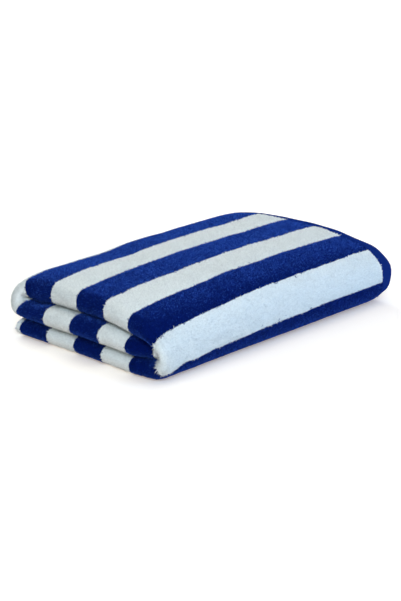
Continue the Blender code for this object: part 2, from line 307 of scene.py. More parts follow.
# Colours, linear.
BLUE = (0.0016, 0.0088, 0.100)
WHITE = (0.860, 0.886, 0.866)
BAND_BLUE = (0.0060, 0.0220, 0.165)
BLUE_SHEEN = (0.080, 0.227, 1.0)
WHITE_SHEEN = (0.85, 0.93, 1.0)
BLUE_SHEEN_WEIGHT = 0.76
BAND_SHEEN_WEIGHT = 0.15
WHITE_SHEEN_WEIGHT = 0.02
SHEEN_ROUGHNESS = 0.40
CLOTH_ROUGHNESS = 0.95

# The pile's nubs and fibres: noises, as (scale, roughness), with their shares of the bump,
# how much the nubs lighten and darken the colour, and the bump's (strength, distance).
NUBS = (620.0, 0.6)
FIBRES = (1900.0, 0.7)
NOISE_DETAIL = 2.0
NUB_SHARE = 0.8
FIBRE_SHARE = 0.2
NUB_SHADE = 0.30
PILE_BUMP = (0.55, 0.0009)

# The band's weave: ribs along the towel and finer ones across it, half of the bump each.
RIB_PITCH = 0.0009
PICK_PITCH = 0.0006
WEAVE_SHARE = 0.5
WEAVE_SHADE = 0.10
BAND_BUMP = (0.6, 0.0004)

# The floor is a large square just below the towel, this far from its middle to each side. It
# glows a little.
FLOOR_REACH = 12.0
FLOOR_BELOW = 0.0002
FLOOR_ROUGHNESS = 0.90
FLOOR_WHITE = (0.90, 0.90, 0.90)
FLOOR_GLOW = 0.338
FLOOR_GLOW_COLOUR = (1.0, 0.836, 0.678)

# Soft light from all round, and square lights: (name, place, place it looks at, size, spread
# in radians, which is wide or less, watts, colour). The last one lights only the floor far
# behind the towel.
WORLD_STRENGTH = 0.16
WIDE = 3.14
LIGHTS = (
    ("overhead", (0.3, -0.2, 2.2), (0, 0, 0), 1.8, WIDE, 16.6, (1.0, 0.891, 0.743)),
    ("front_right", (1.2, -2.1, 0.8), (0, 0, 0), 1.4, WIDE, 23.7, (0.152, 0.489, 1.0)),
    ("left", (-2.1, -0.7, 0.8), (0, 0, 0), 1.2, WIDE, 7.0, (0.795, 0.906, 1.0)),
    ("back", (0.5, 2.2, 1.3), (0, 0, 0), 1.4, WIDE, 31.5, (0.764, 0.905, 1.0)),
    ("left_front", (-1.4, -1.5, 1.6), (0, 0, 0), 1.2, WIDE, 29.4, (0.749, 0.890, 1.0)),
    ("far_floor", (1.7, 1.6, 1.8), (1.7, 1.6, 0), 1.8, 1.80, 20.0, (1.0, 1.0, 1.0)),
)

# The camera: lens and sensor in mm, distance from the point it looks at, which is on the floor
# and given in the packet's numbers, and its bearing and height in radians.
LENS = 100.98
SENSOR_WIDTH = 36.0
CLIP_START = 0.05
CLIP_END = 60.0
CAMERA_DISTANCE = 2.32
CAMERA_LOOKS_AT = (0.26187, 0.04635)
CAMERA_BEARING = 0.75256
CAMERA_HEIGHT = 0.33367


def smooth_step(t):
    """0 below 0, 1 above 1, and an even rise between."""
    t = np.clip(t, 0.0, 1.0)
    return t * t * (3.0 - 2.0 * t)


# The section along the packet: four plies and three bights in the (x, depth) plane.


def ply_depth(ply):
    """Middle depth of a ply, counted from 0 at the outside, with its faces at 0 and 1."""
    half = ply_half_depth()
    return half + ply * (1.0 - 2.0 * half) / (PLIES - 1)


def ply_half_depth():
    """Half a ply's thickness in depth."""
    pitch = 1.0 / (PLIES - 1 + PLY_FILL)
    return pitch * PLY_FILL / 2.0


def eased(count):
    """Steps from 0 to 1, closer together at both ends."""
    return 0.5 - 0.5 * np.cos(np.pi * np.linspace(0.0, 1.0, count + 1))


def ply_rows(x, depth, side, fill=1.0):
    """Flat cloth at these x: rows of (x, depth, half thickness along x, the same in depth)."""
    x = np.asarray(x, float)
    flat = np.zeros_like(x)
    return np.stack([x, flat + depth, flat, flat - side * fill * ply_half_depth()], 1)


def straight(x_from, x_to, depth, side, steps):
    """Rows of flat cloth from one x to another, closer together at both ends."""
    return ply_rows(x_from + (x_to - x_from) * eased(steps), depth, side)


def hem(x_end, depth, side):
    """The flat-woven blue end of the cloth, from its edge inwards."""
    return ply_rows([x_end, x_end - HEM_LENGTH], depth, side, HEM_FILL)


def bight(x, depth, middle, reach_ratio, turn, side, steps):
    """Half a turn about (x, depth). middle is the middle line's radius in depth, turn is -1
    towards the left and 1 towards the right, and side is 1 where the first face is outside."""
    angle = np.pi * np.linspace(0.0, 1.0, steps + 1)[1:-1]
    start = 1.0 if (turn > 0) or side < 0 else -1.0
    out_x = turn * np.sin(angle) * reach_ratio
    out_depth = start * np.cos(angle)
    half = side * ply_half_depth()
    return np.stack(
        [x + middle * out_x, depth + middle * out_depth, half * out_x, half * out_depth], 1
    )


def step_lengths(section):
    """Length of the cloth's middle line from each row to the next, with depth as a height."""
    steps = np.diff(section[:, :2], axis=0) * np.array([1.0, PACKET_HEIGHT / THIRDS])
    return np.hypot(steps[:, 0], steps[:, 1])


def cloth_section(length):
    """The whole back-and-forth section for a packet of this length, from hem to hem."""
    left = LEFT_BIGHT_REACH
    right = length - RIGHT_BIGHT_INSET
    reach_left = LEFT_BIGHT_REACH / MIDDLE_DEPTH
    outer = MIDDLE_DEPTH - ply_half_depth()
    inner = ply_depth(2) - MIDDLE_DEPTH
    small_centre = (ply_depth(2) + ply_depth(3)) / 2.0
    small = ply_depth(3) - small_centre
    reach_right = RIGHT_BIGHT_REACH / (small + ply_half_depth())
    inner_end = length - INNER_HEM_INSET
    pile_inset = HEM_LENGTH + HEM_STEP
    wide_steps, right_steps, core_steps = STEPS_IN_BIGHTS
    return np.concatenate(
        [
            hem(length, ply_depth(0), 1),
            straight(length - pile_inset, left, ply_depth(0), 1, STEPS_ALONG_OUTER_PLY),
            bight(left, MIDDLE_DEPTH, outer, reach_left, -1, 1, wide_steps),
            straight(left, right, ply_depth(3), -1, STEPS_ALONG_INNER_PLY),
            bight(right, small_centre, small, reach_right, 1, 1, right_steps),
            straight(right, left, ply_depth(2), 1, STEPS_ALONG_INNER_PLY),
            bight(left, MIDDLE_DEPTH, inner, reach_left, -1, -1, core_steps),
            straight(left, inner_end - pile_inset, ply_depth(1), -1, STEPS_ALONG_INNER_PLY),
            hem(inner_end, ply_depth(1), -1)[::-1],
        ]
    )


def packet_length():
    """The packet's length for which the cloth, with its hems, is CLOTH_LENGTH long."""
    guess = CLOTH_LENGTH / PLIES
    for _ in range(LENGTH_STEPS):
        guess += (CLOTH_LENGTH - step_lengths(cloth_section(guess)).sum()) / PLIES
    return guess


# The section across the packet: one long curve for each x and depth.


def fold_quarter(centre, widest, reach, rise, power, outwards):
    """A quarter of a fold's outline, from its joint with the flat cloth (rise above the widest
    point) to the widest point, or the other way where outwards is False."""
    angle = np.linspace(0.0, math.pi / 2.0, CURVE_STEPS)[None, :]
    y = centre + reach * np.sin(angle) ** (2.0 / power)
    z = widest + rise * np.cos(angle) ** (2.0 / power)
    return (y, z) if outwards else (y[:, ::-1], z[:, ::-1])


def across_curve(x, depth):
    """For each (x, depth), the outline that the cloth follows from the middle third's free
    side over the back fold, the top and the front fold to the bottom third's free side.
    Returns y, z, and the columns of the joints: back fold, top, front fold, bottom."""
    half_gap = THIRD_GAP / 2.0
    top_height = PACKET_HEIGHT - MIDDLE_THIRD_TOP - half_gap
    top = MIDDLE_THIRD_TOP + half_gap + top_height * (1.0 - depth)
    middle_height = MIDDLE_THIRD_TOP - BOTTOM_THIRD_TOP - THIRD_GAP
    middle = BOTTOM_THIRD_TOP + half_gap + middle_height * depth
    bottom = (BOTTOM_THIRD_TOP - half_gap) * depth

    def towards_round(power):
        return power + (2.0 - power) * depth

    front = -FRONT_FOLD_CENTRE
    outer_reach = FRONT_FOLD_REACH + FRONT_FOLD_GROWTH * x / CROWN_SPAN
    front_reach = outer_reach - FRONT_FOLD_THICKNESS * depth
    core = (BOTTOM_THIRD_TOP + MIDDLE_THIRD_TOP) / 2.0
    front_z = FRONT_FOLD_WIDEST_Z + (core - FRONT_FOLD_WIDEST_Z) * depth
    back = BACK_FOLD_CENTRE
    back_reach = BACK_FOLD_REACH + (BACK_FOLD_CORE - BACK_FOLD_REACH) * depth
    back_z = BACK_FOLD_WIDEST_Z + (MIDDLE_THIRD_TOP - BACK_FOLD_WIDEST_Z) * depth
    upper_front, lower_front = (towards_round(p) for p in FRONT_FOLD_POWERS)
    upper_back, lower_back = (towards_round(p) for p in BACK_FOLD_POWERS)

    def run(y_from, y_to, z):
        y = np.linspace(y_from, y_to, CURVE_STEPS)[None, 1:-1] + 0.0 * x
        return y, z + 0.0 * y

    free_reach = front_reach + (depth - 1.0) * FRONT_FOLD_THICKNESS - FREE_SIDE_GAP
    parts = [
        fold_quarter(front, core, -free_reach, middle - core, 2.0, False),
        run(front, back, middle),
        fold_quarter(back, back_z, back_reach, middle - back_z, lower_back, True),
        fold_quarter(back, back_z, back_reach, top - back_z, upper_back, False),
        run(back, front, top),
        fold_quarter(front, front_z, -front_reach, top - front_z, upper_front, True),
        fold_quarter(front, front_z, -front_reach, bottom - front_z, lower_front, False),
        run(front, back + 2.0 * BACK_FOLD_REACH, bottom),
    ]
    joints = np.cumsum([p[0].shape[1] for p in parts])
    y = np.concatenate([p[0] for p in parts], 1)
    z = np.concatenate([p[1] for p in parts], 1)
    return y, z, (joints[1], joints[3] - 1, joints[4], joints[6] - 1)


def pillow(x, y, z, length):
    """Lifts the crown and lowers the sides and ends, more so the higher a point is."""
    t = x / CROWN_SPAN
    front_share = np.clip((CROWN_CENTRE - y) / (CROWN_CENTRE + FRONT_FOLD_CENTRE), 0.0, 2.0)
    back_share = np.clip((y - CROWN_CENTRE) / (BACK_FOLD_CENTRE - CROWN_CENTRE), 0.0, 2.0)
    right_share = np.clip((x - length) / RIGHT_DROP_LENGTH + 1.0, 0.0, None)
    rise = (
        CROWN_RISE * t
        - CROWN_FALL * t * t
        - FRONT_DROP * front_share**SIDE_DROP_POWER
        - BACK_DROP * back_share**SIDE_DROP_POWER
        - LEFT_DROP * np.exp(-x / LEFT_DROP_LENGTH)
        - RIGHT_DROP * right_share**RIGHT_DROP_POWER
    )
    for hollow_x, hollow_y, hollow_depth, width in TOP_HOLLOWS:
        distance = ((x - hollow_x) ** 2 + (y - hollow_y) ** 2) / width**2
        rise = rise - hollow_depth / PACKET_HEIGHT * np.exp(-distance)
    z = z * (1.0 + rise * z / PACKET_HEIGHT)
    corner = smooth_step((x - length) / CORNER_LIFT_LENGTH + 1.0) * front_share
    z = z + CORNER_LIFT * corner * np.clip(1.0 - z / PACKET_HEIGHT, 0.0, 1.0)
    pinch = LEFT_PINCH * np.exp(-x / LEFT_PINCH_LENGTH) * z / PACKET_HEIGHT
    y = PINCH_CENTRE + (y - PINCH_CENTRE) * (1.0 - pinch)
    return y, z


def end_offsets(across):
    """The left and right offsets of END_OFFSETS, with an even change between its rows."""
    known, left, right = np.array(END_OFFSETS).T
    row = np.clip(np.searchsorted(known, across) - 1, 0, len(known) - 2)
    share = smooth_step((across - known[row]) / (known[row + 1] - known[row]))
    return tuple(table[row] + (table[row + 1] - table[row]) * share for table in (left, right))


def rows_interp(wanted, known, values):
    """np.interp() for each row."""
    return np.array([np.interp(w, k, v) for w, k, v in zip(wanted, known, values)])


def carry_to_packet(x, depth, across, length):
    """Places in the packet of the cloth at x and depth, one row each, and across."""
    x = np.asarray(x, float)[:, None]
    depth = np.asarray(depth, float)[:, None]
    flat_y, flat_z, (back_end, top_start, front_start, front_end) = across_curve(x, depth)
    y, z = pillow(x, flat_y, flat_z, length)
    steps = np.hypot(np.diff(y, axis=1), np.diff(z, axis=1))
    run = np.concatenate([0.0 * x, np.cumsum(steps, 1)], 1)
    centre = -(STRIPE_CENTRE + STRIPE_DRIFT * x / CROWN_SPAN)
    top = slice(top_start, front_start + 1)
    run -= rows_interp(centre, -flat_y[:, top], run[:, top])

    outside = np.clip(1.0 - 2.0 * depth, 0.0, 1.0)
    late = outside * (1.0 - np.exp(-x / LATE_EASING_SETTLES))
    start = FRONT_EASES_FROM + (LATE_EASES_FROM - FRONT_EASES_FROM) * late
    stop = FRONT_EASES_TO - OUTER_EASES_SOONER * outside
    stop = stop + (LATE_EASES_TO - FRONT_EASES_TO + OUTER_EASES_SOONER) * late
    extra = run[:, front_end][:, None] + FRONT_FOLD_CENTRE - BOTTOM_SHIFT
    frontwards = across + extra * smooth_step((across - start) / (stop - start))

    eased_back = smooth_step((-across - BACK_EASES_FROM) / (BACK_EASES_TO - BACK_EASES_FROM))
    extra = -run[:, back_end][:, None] + BACK_FOLD_CENTRE - MIDDLE_SHIFT
    backwards = -across + extra * eased_back
    inside = (-across - DRAWN_IN_FROM) / (HALF_WIDTH - DRAWN_IN_FROM)
    backwards -= DRAWN_IN_BY * smooth_step(inside)

    place = np.where(across >= 0.0, frontwards, -backwards)
    left_offset, right_offset = end_offsets(across)
    left_weight = np.exp(-x / LEFT_OFFSET_LENGTH)
    right_weight = smooth_step((x - length) / RIGHT_OFFSET_LENGTH + 1.0)
    along = x + left_offset * left_weight + right_offset * right_weight
    return np.stack([along, rows_interp(place, run, y), rows_interp(place, run, z)], -1)


# The sheet.


def stripe_edges():
    """Distances across of the borders between stripes, and of both sides of the cloth."""
    inner = (np.arange(FULL_STRIPES + 1) - FULL_STRIPES / 2.0) * STRIPE_WIDTH
    return np.concatenate([[-HALF_WIDTH], inner, [HALF_WIDTH]])


def across_stations():
    """Distances across of the sheet's vertices, which all borders between stripes are among."""
    edges = stripe_edges()
    stations = [edges[:1]]
    for low, high in zip(edges[:-1], edges[1:]):
        count = STEPS_IN_STRIPE if high - low > EDGE_STRIPE_WIDTH else STEPS_IN_EDGE_STRIPE
        stations.append(low + (high - low) * np.arange(1, count + 1) / count)
    return np.concatenate(stations)


def uneven(places, random):
    """Moves places by a few long low waves in all directions, but not down through the floor."""
    moved = places.copy()
    for size, height in UNEVENNESS:
        for _ in range(WAVES_OF_EACH_SIZE):
            direction = random.normal(size=3)
            direction /= np.linalg.norm(direction)
            towards = random.normal(size=3)
            towards /= np.linalg.norm(towards)
            phase = random.uniform(0.0, 2.0 * math.pi)
            wave = np.sin(places @ direction * 2.0 * math.pi / size + phase)
            moved += wave[:, None] * towards * height / math.sqrt(WAVES_OF_EACH_SIZE)
    lifted = smooth_step(places[:, 2] / FLAT_BELOW)
    moved[:, 2] = places[:, 2] + (moved[:, 2] - places[:, 2]) * lifted
    return moved


def creased(places, faces):
    """Moves places near the crease into the cloth."""
    line = np.array(CREASE)
    stretches = len(line) - 1
    number = np.linspace(0.0, stretches, stretches * CREASE_STEPS + 1)
    points = np.stack([np.interp(number, np.arange(len(line)), column) for column in line.T], 1)
    apart = np.linalg.norm(places[:, None, :] - points[None, :, :3], axis=2)
    depth = (points[None, :, 3] * np.exp(-((apart / CREASE_WIDTH) ** 2))).max(1)
    return places - vertex_normals(places, faces) * depth[:, None]


def is_blue(across, along):
    """Whether the flat cloth is blue there: every other stripe, and the bands at its ends."""
    stripe = np.searchsorted(stripe_edges(), across) - 1
    return (stripe % 2 == 1) | in_band(along)


def in_band(along):
    """Whether the flat cloth is in a hem there, given the distance along it."""
    return (along < HEM_LENGTH) | (along > CLOTH_LENGTH - HEM_LENGTH)


def hem_rows(section, length):
    """The section with more rows in the hem that shows, where it starts."""
    turn = np.linspace(0.0, math.pi / 2.0, HEM_ROUND_STEPS)
    settled = HEM_LENGTH + HEM_SETTLES
    rest = np.linspace(HEM_ROUND, settled, HEM_STEPS)[1:]
    wanted = np.concatenate([HEM_ROUND * (1.0 - np.cos(turn)), rest])
    distance = length - section[:, 0]
    first = np.argmax(distance > settled)
    known = distance[: first + 1]
    rows = [np.interp(wanted, known, column[: first + 1]) for column in section.T]
    return np.concatenate([np.stack(rows, 1), section[first:]])


def fullness(along, side):
    """Half the ground's thickness on one side of each row, as a share of the ply's. The hem
    that shows is fuller above and round at its end."""
    share = np.full(len(along), GROUND_SHARE)
    if side > 0.0:
        settling = smooth_step((along - HEM_LENGTH + HEM_SETTLES) / (2.0 * HEM_SETTLES))
        share += (HEM_SHARE - GROUND_SHARE) * (1.0 - settling)
    end = np.clip(1.0 - along / HEM_ROUND, 0.0, 1.0)
    return share * np.sqrt(np.maximum(1.0 - end**2, HEM_END_SHARE))


def slid(across, along, bight_along):
    """Where each place on the flat cloth lies in the even packet, as a distance across: a few
    borders round the wide bight lie a little off it."""
    place = across[None, :] + 0.0 * along[:, None]
    for border, offset, width, length, shift in BORDER_SHIFTS:
        distance = ((across[None, :] - border) / width) ** 2
        distance = distance + ((along[:, None] - bight_along - offset) / length) ** 2
        place -= shift * np.exp(-distance)
    return place


def swollen(places):
    """Moves the places near each of the SWELLS."""
    moved = places.copy()
    for x, y, z, radius, *shift in SWELLS:
        distance = ((places - np.array([x, y, z])) ** 2).sum(1) / radius**2
        moved += np.exp(-distance)[:, None] * np.array(shift)
    return moved


def sheet_grid(length, random):
    """Vertices of the closed sheet, its quads, each vertex's distances over the flat cloth,
    which are across it and along it from the hem that shows, and the latter at the wide
    bight's outermost line."""
    section = hem_rows(cloth_section(length), length)
    across = across_stations()
    along = np.concatenate([[0.0], np.cumsum(step_lengths(section))])
    bight_along = along[section[:, 0].argmin()]
    place = slid(across, along, bight_along)
    sides = []
    for side in (1.0, -1.0):
        share = side * fullness(along, side)
        x = section[:, 0] + share * section[:, 2]
        depth = section[:, 1] + share * section[:, 3]
        sides.append(carry_to_packet(x, depth, place, length))
    rows, columns = sides[0].shape[:2]
    vertices = np.concatenate([side.reshape(-1, 3) for side in sides])
    vertices -= np.array([*PACKET_MIDDLE, 0.0])
    vertices = uneven(swollen(vertices), random)
    vertices[:, 2] = np.maximum(vertices[:, 2], 0.0)

    row, column = np.meshgrid(np.arange(rows - 1), np.arange(columns - 1), indexing="ij")
    first = (row * columns + column).ravel()
    quads = np.stack([first, first + 1, first + columns + 1, first + columns], 1)
    other = rows * columns
    side_rows = np.arange(rows - 1) * columns
    hem_columns = np.arange(columns - 1)
    last_row = (rows - 1) * columns
    walls = [
        wall(side_rows + columns, side_rows, other),
        wall(side_rows + columns - 1, side_rows + 2 * columns - 1, other),
        wall(hem_columns, hem_columns + 1, other),
        wall(last_row + hem_columns + 1, last_row + hem_columns, other),
    ]
    faces = np.concatenate([quads[:, ::-1], quads + other, *walls])
    vertices = creased(vertices, faces)
    grid_across = np.tile(np.tile(across, rows), 2)
    grid_along = np.tile(np.repeat(along, columns), 2)
    return vertices, faces, grid_across, grid_along, bight_along


def wall(start, end, other):
    """Quads that join the sheet's two sides along an edge."""
    return np.stack([start, end, end + other, start + other], 1)


def new_mesh(name, vertices, faces):
    """A smooth mesh from arrays of vertices and of faces, which all have as many corners."""
    mesh = bpy.data.meshes.new(name)
    count, corners = faces.shape
    mesh.vertices.add(len(vertices))
    mesh.vertices.foreach_set("co", vertices.astype(np.float32).ravel())
    mesh.loops.add(count * corners)
    mesh.loops.foreach_set("vertex_index", faces.astype(np.int32).ravel())
    mesh.polygons.add(count)
    mesh.polygons.foreach_set("loop_start", (np.arange(count) * corners).astype(np.int32))
    mesh.update(calc_edges=True)
    mesh.validate()
    mesh.shade_smooth()
    return mesh


def set_values(mesh, name, values):
    """Gives each vertex a value that a material can read."""
    attribute = mesh.attributes.new(name, "FLOAT", "POINT")
    attribute.data.foreach_set("value", np.asarray(values, np.float32))


def add_piece(name, mesh, materials, choice):
    """A piece that takes the towel's place. choice is the number of each face's material."""
    for material in materials:
        mesh.materials.append(material)
    mesh.polygons.foreach_set("material_index", choice.astype(np.int32))
    piece = bpy.data.objects.new(name, mesh)
    bpy.context.scene.collection.objects.link(piece)
    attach(piece, "root")
    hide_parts("towel")
    return piece


# The pile.


def unit(vectors):
    """The vectors at length 1, or 0 where they have no length."""
    return vectors / np.maximum(np.linalg.norm(vectors, axis=1, keepdims=True), NO_LENGTH)


def face_normals(corners):
    """Normals of quads, from their corners, as long as twice each quad's area."""
    return np.cross(corners[:, 2] - corners[:, 0], corners[:, 3] - corners[:, 1])


def vertex_normals(vertices, faces):
    """Each vertex's normal: the mean of those of the faces round it, by their areas."""
    normal = face_normals(vertices[faces])
    total = np.zeros_like(vertices)
    for corner in range(faces.shape[1]):
        np.add.at(total, faces[:, corner], normal)
    return unit(total)


def spread_directions(count):
    """Directions spread evenly over the half of the sphere round +Z."""
    number = np.arange(count) + 0.5
    height = number / count
    turn = number * math.pi * (3.0 - math.sqrt(5.0))
    flat = np.sqrt(1.0 - height**2)
    return np.stack([flat * np.cos(turn), flat * np.sin(turn), height], 1)


def seen_shares(vertices, faces):
    """For each face, the share of the rays from it that leave the towel."""
    tree = BVHTree.FromPolygons(vertices.tolist(), faces.tolist())
    corners = vertices[faces]
    middle = corners.mean(1)
    normal = unit(face_normals(corners))
    spread = spread_directions(SEEN_RAYS)
    shares = np.zeros(len(faces))
    for number, (place, up) in enumerate(zip(middle, normal)):
        start = Vector(place + up * RAY_START)
        turn = Vector(up).to_track_quat("Z", "Y").to_matrix()
        free = 0
        for direction in spread:
            hit = tree.ray_cast(start, turn @ Vector(direction), RAY_LENGTH)
            free += hit[0] is None
        shares[number] = free / SEEN_RAYS
    return shares


def blend_corners(values, face, u, v):
    """Values at (u, v) in each face, from the values at its four corners."""
    u, v = u[:, None], v[:, None]
    a, b, c, d = (values[face, k] for k in range(4))
    return (a * (1.0 - u) + b * u) * (1.0 - v) + (d * (1.0 - u) + c * u) * v


class Roots:
    """The places where tufts stand, about TUFT_SPACING apart on the faces, each with the
    cloth's normal, its direction across the cloth, and its distances over the flat cloth."""

    def __init__(self, vertices, faces, across, along, random):
        corners = vertices[faces]
        over = corners[:, 1] - corners[:, 0] + corners[:, 2] - corners[:, 3]
        up = corners[:, 3] - corners[:, 0] + corners[:, 2] - corners[:, 1]
        wide, high = (np.linalg.norm(edge, axis=1) / 2.0 for edge in (over, up))
        columns = np.floor(wide / TUFT_SPACING + random.uniform(size=len(faces))).astype(int)
        rows = np.floor(high / TUFT_SPACING + random.uniform(size=len(faces))).astype(int)
        count = columns * rows
        face = np.repeat(np.arange(len(faces)), count)
        number = np.arange(count.sum()) - np.repeat(np.cumsum(count) - count, count)
        u = (number % columns[face] + random.uniform(size=len(face))) / columns[face]
        v = (number // columns[face] + random.uniform(size=len(face))) / rows[face]
        self.place = blend_corners(corners, face, u, v)
        self.normal = unit(blend_corners(vertex_normals(vertices, faces)[faces], face, u, v))
        flat = np.stack([across, along], 1)[faces]
        self.across, self.along = blend_corners(flat, face, u, v).T
        forwards = np.sign(flat[:, 1, 0] - flat[:, 0, 0])[face, None] * over[face]
        sideways = (forwards * self.normal).sum(1, keepdims=True) * self.normal
        self.sideways = unit(forwards - sideways)

    def keep(self, wanted):
        for name in ("place", "normal", "across", "along", "sideways"):
            setattr(self, name, getattr(self, name)[wanted])

    def __len__(self):
        return len(self.place)


def patches(roots, size, random):
    """Smooth random values from -1 to 1 at the roots, that change over about this distance."""
    table = random.uniform(-1.0, 1.0, (PATCHES_IN_TABLE, PATCHES_IN_TABLE))
    u, v = roots.across / size, roots.along / size
    column, row = np.floor(u).astype(int), np.floor(v).astype(int)
    s, t = smooth_step(u - column), smooth_step(v - row)
    this, after = row % PATCHES_IN_TABLE, (row + 1) % PATCHES_IN_TABLE
    left, right = column % PATCHES_IN_TABLE, (column + 1) % PATCHES_IN_TABLE
    low = table[this, left] * (1.0 - s) + table[this, right] * s
    high = table[after, left] * (1.0 - s) + table[after, right] * s
    return low * (1.0 - t) + high * t


def border_distance(across):
    """How far it is from each place to the nearest border between stripes, with its sign."""
    edges = stripe_edges()[1:-1]
    nearest = np.clip(np.rint((across - edges[0]) / STRIPE_WIDTH), 0, len(edges) - 1)
    return across - (edges[0] + nearest * STRIPE_WIDTH)


def near(roots, bight_along, across, along, width, length):
    """1 at a place on the cloth round the wide bight and falling off to 0 all round it."""
    distance = ((roots.across - across) / width) ** 2
    distance += ((roots.along - bight_along - along) / length) ** 2
    return np.exp(-distance)


def border_wave(roots, random):
    """How far the border between two colours lies off its even line at each root."""
    return sum(height * patches(roots, size, random) for size, height in BORDER_WAVES)


def tuft_colours(roots, random):
    """Whether each tuft is blue. The borders are wavy and notched, and blue is a little wider
    at the roots, since the longer white tufts lean out over it."""
    place = roots.across + border_wave(roots, random)
    share = (patches(roots, NOTCH_SIZE, random) - NOTCH_LEVEL) / (1.0 - NOTCH_LEVEL)
    reach = WHITE_INSET + NOTCH_DEPTH * np.clip(share, 0.0, 1.0)
    return is_blue(place, roots.along) | (np.abs(border_distance(place)) < reach)


def mottling(roots, waves, random):
    """Lighter and darker patches of the sizes and shares in waves, added up at each root."""
    return sum(share * patches(roots, size, random) for size, share in waves)


def tuft_tones(roots, blue, random):
    """How much lighter or darker each tuft is than its colour, as a share."""
    tone = np.where(
        blue, mottling(roots, BLUE_MOTTLING, random), mottling(roots, WHITE_MOTTLING, random)
    )
    share = np.where(blue, BLUE_TUFT_TONE, WHITE_TUFT_TONE)
    return tone + share * random.uniform(-1.0, 1.0, len(roots))


def tuft_heights(roots, blue, fringe, random):
    """How high each tuft is. fringe is 1 in a fringe and 0 outside them all."""
    height = np.where(blue, BLUE_TUFT_HEIGHT, WHITE_TUFT_HEIGHT * (1.0 + FRINGE_LONGER * fringe))
    return height * random.uniform(*TUFT_HEIGHT_RANGE, len(roots))


def tuft_leans(roots, blue, fringe, random):
    """How far each tuft's tip lies from over its root, as shares of its height: across the
    cloth and along it."""
    lean = TUFT_LEAN * random.normal(size=(2, len(roots)))
    clump = np.stack([patches(roots, CLUMP_SIZE, random) for _ in range(2)])
    lean += clump * np.where(blue, BLUE_CLUMP_LEAN, WHITE_CLUMP_LEAN)
    distance = border_distance(roots.across)
    outwards = -np.sign(distance) * np.exp(-np.abs(distance) / BORDER_REACH)
    lean[0] += np.where(blue, 0.0, (BORDER_LEAN + FRINGE_LEAN * fringe) * outwards)
    return lean


def tufts(roots, height, lean, part, random):
    """Vertices, faces and shading normals of one small leaning spike at each place in the
    part. The normals are mostly the cloth's, tilted with the spike's lean."""
    place, normal, first = roots.place[part], roots.normal[part], roots.sideways[part]
    height, lean = height[part, None], lean[:, part, None]
    count = len(place)
    second = np.cross(normal, first)
    start = random.uniform(0.0, 2.0 * math.pi, count)
    radius = TUFT_RADIUS * random.uniform(*TUFT_RADIUS_RANGE, count)[:, None]
    towards = first * lean[0] + second * lean[1]
    tilted = normal + NORMAL_TILT * towards
    corners, normals = [], []
    for side in range(TUFT_SIDES):
        angle = (start + 2.0 * math.pi * side / TUFT_SIDES)[:, None]
        out = first * np.cos(angle) + second * np.sin(angle)
        corners.append(place + out * radius - normal * TUFT_SINK)
        normals.append(tilted + NORMAL_SPREAD * out)
    tip = place + height * (normal + towards)
    tip[:, 2] = np.maximum(tip[:, 2], 0.0)
    vertices = np.stack([*corners, tip], 1).reshape(-1, 3)
    normals = unit(np.stack([*normals, tilted], 1).reshape(-1, 3))
    base = np.arange(count)[:, None] * (TUFT_SIDES + 1)
    triangles = [[side, (side + 1) % TUFT_SIDES, TUFT_SIDES] for side in range(TUFT_SIDES)]
    faces = (base[:, None, :] + np.array(triangles)[None]).reshape(-1, 3)
    return vertices, faces, normals


def make_pile(vertices, faces, across, along, bight_along, materials, random):
    """The pieces of pile, on all of the cloth that shows but the hems."""
    shown = faces[seen_shares(vertices, faces) >= SEEN_SHARE]
    roots = Roots(vertices, shown, across, along, random)
    roots.keep(~in_band(roots.along + border_wave(roots, random)))
    blue = tuft_colours(roots, random)
    tone = tuft_tones(roots, blue, random)
    fringe = np.clip(sum(near(roots, bight_along, *place) for place in FRINGES), 0.0, 1.0)
    height = tuft_heights(roots, blue, fringe, random)
    lean = tuft_leans(roots, blue, fringe, random)
    pieces = []
    for start in range(0, len(roots), TUFTS_IN_PIECE):
        part = slice(start, start + TUFTS_IN_PIECE)
        tuft_vertices, tuft_faces, normals = tufts(roots, height, lean, part, random)
        name = f"towel_pile_{len(pieces) + 1}"
        mesh = new_mesh(name, tuft_vertices, tuft_faces)
        mesh.normals_split_custom_set_from_vertices(normals)
        set_values(mesh, "tone", np.repeat(tone[part], TUFT_SIDES + 1))
        choice = np.repeat(blue[part], TUFT_SIDES)
        pieces.append(add_piece(name, mesh, materials, choice))
    return pieces


# The materials.


class Nodes:
    """Adds nodes to a material in front of its shader, and links them."""

    def __init__(self, material):
        material.use_nodes = True
        self.tree = material.node_tree
        self.shader = self.tree.nodes.get("Principled BSDF")

    def add(self, kind, inputs=(), **settings):
        node = self.tree.nodes.new(kind)
        for name, value in settings.items():
            setattr(node, name, value)
        for name, value in dict(inputs).items():
            self.put(value, node.inputs[name])
        return node

    def put(self, value, socket):
        if isinstance(value, bpy.types.NodeSocket):
            self.tree.links.new(value, socket)
        else:
            socket.default_value = value

    def math(self, operation, a, b=0.0, c=0.0):
        return self.add("ShaderNodeMath", {0: a, 1: b, 2: c}, operation=operation).outputs[0]

    def noise(self, place, scale, roughness):
        inputs = {"Vector": place, "Scale": scale, "Detail": NOISE_DETAIL, "Roughness": roughness}
        return self.add("ShaderNodeTexNoise", inputs).outputs["Fac"]

    def value_of(self, name):
        return self.add("ShaderNodeAttribute", attribute_name=name).outputs["Fac"]

    def shade(self, colour, light):
        """Gives the shader this colour, times light."""
        node = self.add("ShaderNodeVectorMath", {0: colour, 1: light}, operation="MULTIPLY")
        self.put(node.outputs[0], self.shader.inputs["Base Color"])

    def bump(self, height, strength, distance):
        inputs = {"Strength": strength, "Distance": distance, "Height": height}
        self.put(self.add("ShaderNodeBump", inputs).outputs[0], self.shader.inputs["Normal"])


